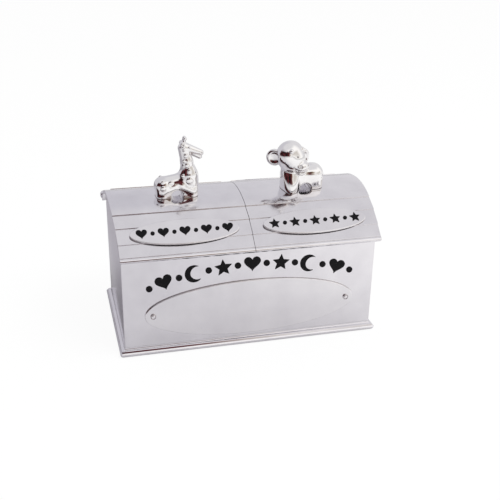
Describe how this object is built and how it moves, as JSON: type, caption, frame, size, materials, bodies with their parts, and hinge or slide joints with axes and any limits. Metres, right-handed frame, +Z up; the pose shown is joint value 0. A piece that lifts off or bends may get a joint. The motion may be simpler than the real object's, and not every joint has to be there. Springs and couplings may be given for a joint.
{
  "type": "keepsake box",
  "caption": "Silver baby keepsake box with a barrel roof split into side-by-side hinged lids, each with an oval plaque and a cast animal, over velvet-lined compartments.",
  "frame": {"origin": "middle of the underside, on the table", "axes": "+X along the front to the right, +Y from the front to the back, +Z up"},
  "size_m": [0.104, 0.0618, 0.0797],
  "materials": {
    "silver_plate": "polished silver plate",
    "silver_trim": "polished silver plate",
    "silver_cast": "polished silver-plated casting",
    "black_enamel": "glossy black enamel",
    "steel": "plain",
    "velvet": "dark blue velvet",
    "felt": "dark blue felt"
  },
  "bodies": {
    "box": {"body_shell": "silver_plate", "base_moulding": "silver_plate", "base_felt": "felt", "base_screws": "steel", "divider": "silver_plate", "tooth_lining": "velvet", "curl_lining": "velvet", "front_nameplate": "silver_trim", "nameplate_rivets": "silver_trim", "front_motifs": "black_enamel", "hinge_rod": "steel", "rod_caps": "silver_trim", "tooth_fixed_leaf": "silver_trim", "curl_fixed_leaf": "silver_trim", "fixed_leaf_rivets": "silver_trim"},
    "tooth_lid": {"tooth_lid_shell": "silver_plate", "tooth_lid_leaf": "silver_trim", "tooth_lid_leaf_rivets": "silver_trim", "tooth_plaque": "silver_trim", "tooth_plaque_motifs": "black_enamel", "giraffe": "silver_cast", "giraffe_screws": "steel"},
    "curl_lid": {"curl_lid_shell": "silver_plate", "curl_lid_leaf": "silver_trim", "curl_lid_leaf_rivets": "silver_trim", "curl_plaque": "silver_trim", "curl_plaque_motifs": "black_enamel", "bear_cub": "silver_cast", "bear_cub_screws": "steel"}
  },
  "joints": [
    {"name": "tooth_lid_hinge", "type": "hinge", "parent": "box", "child": "tooth_lid", "pos_m": [-0.02533, 0.02835, 0.04624], "axis": [-1, 0, 0], "range_deg": [0, 100]},
    {"name": "curl_lid_hinge", "type": "hinge", "parent": "box", "child": "curl_lid", "pos_m": [0.02533, 0.02835, 0.04624], "axis": [-1, 0, 0], "range_deg": [0, 100]}
  ]
}
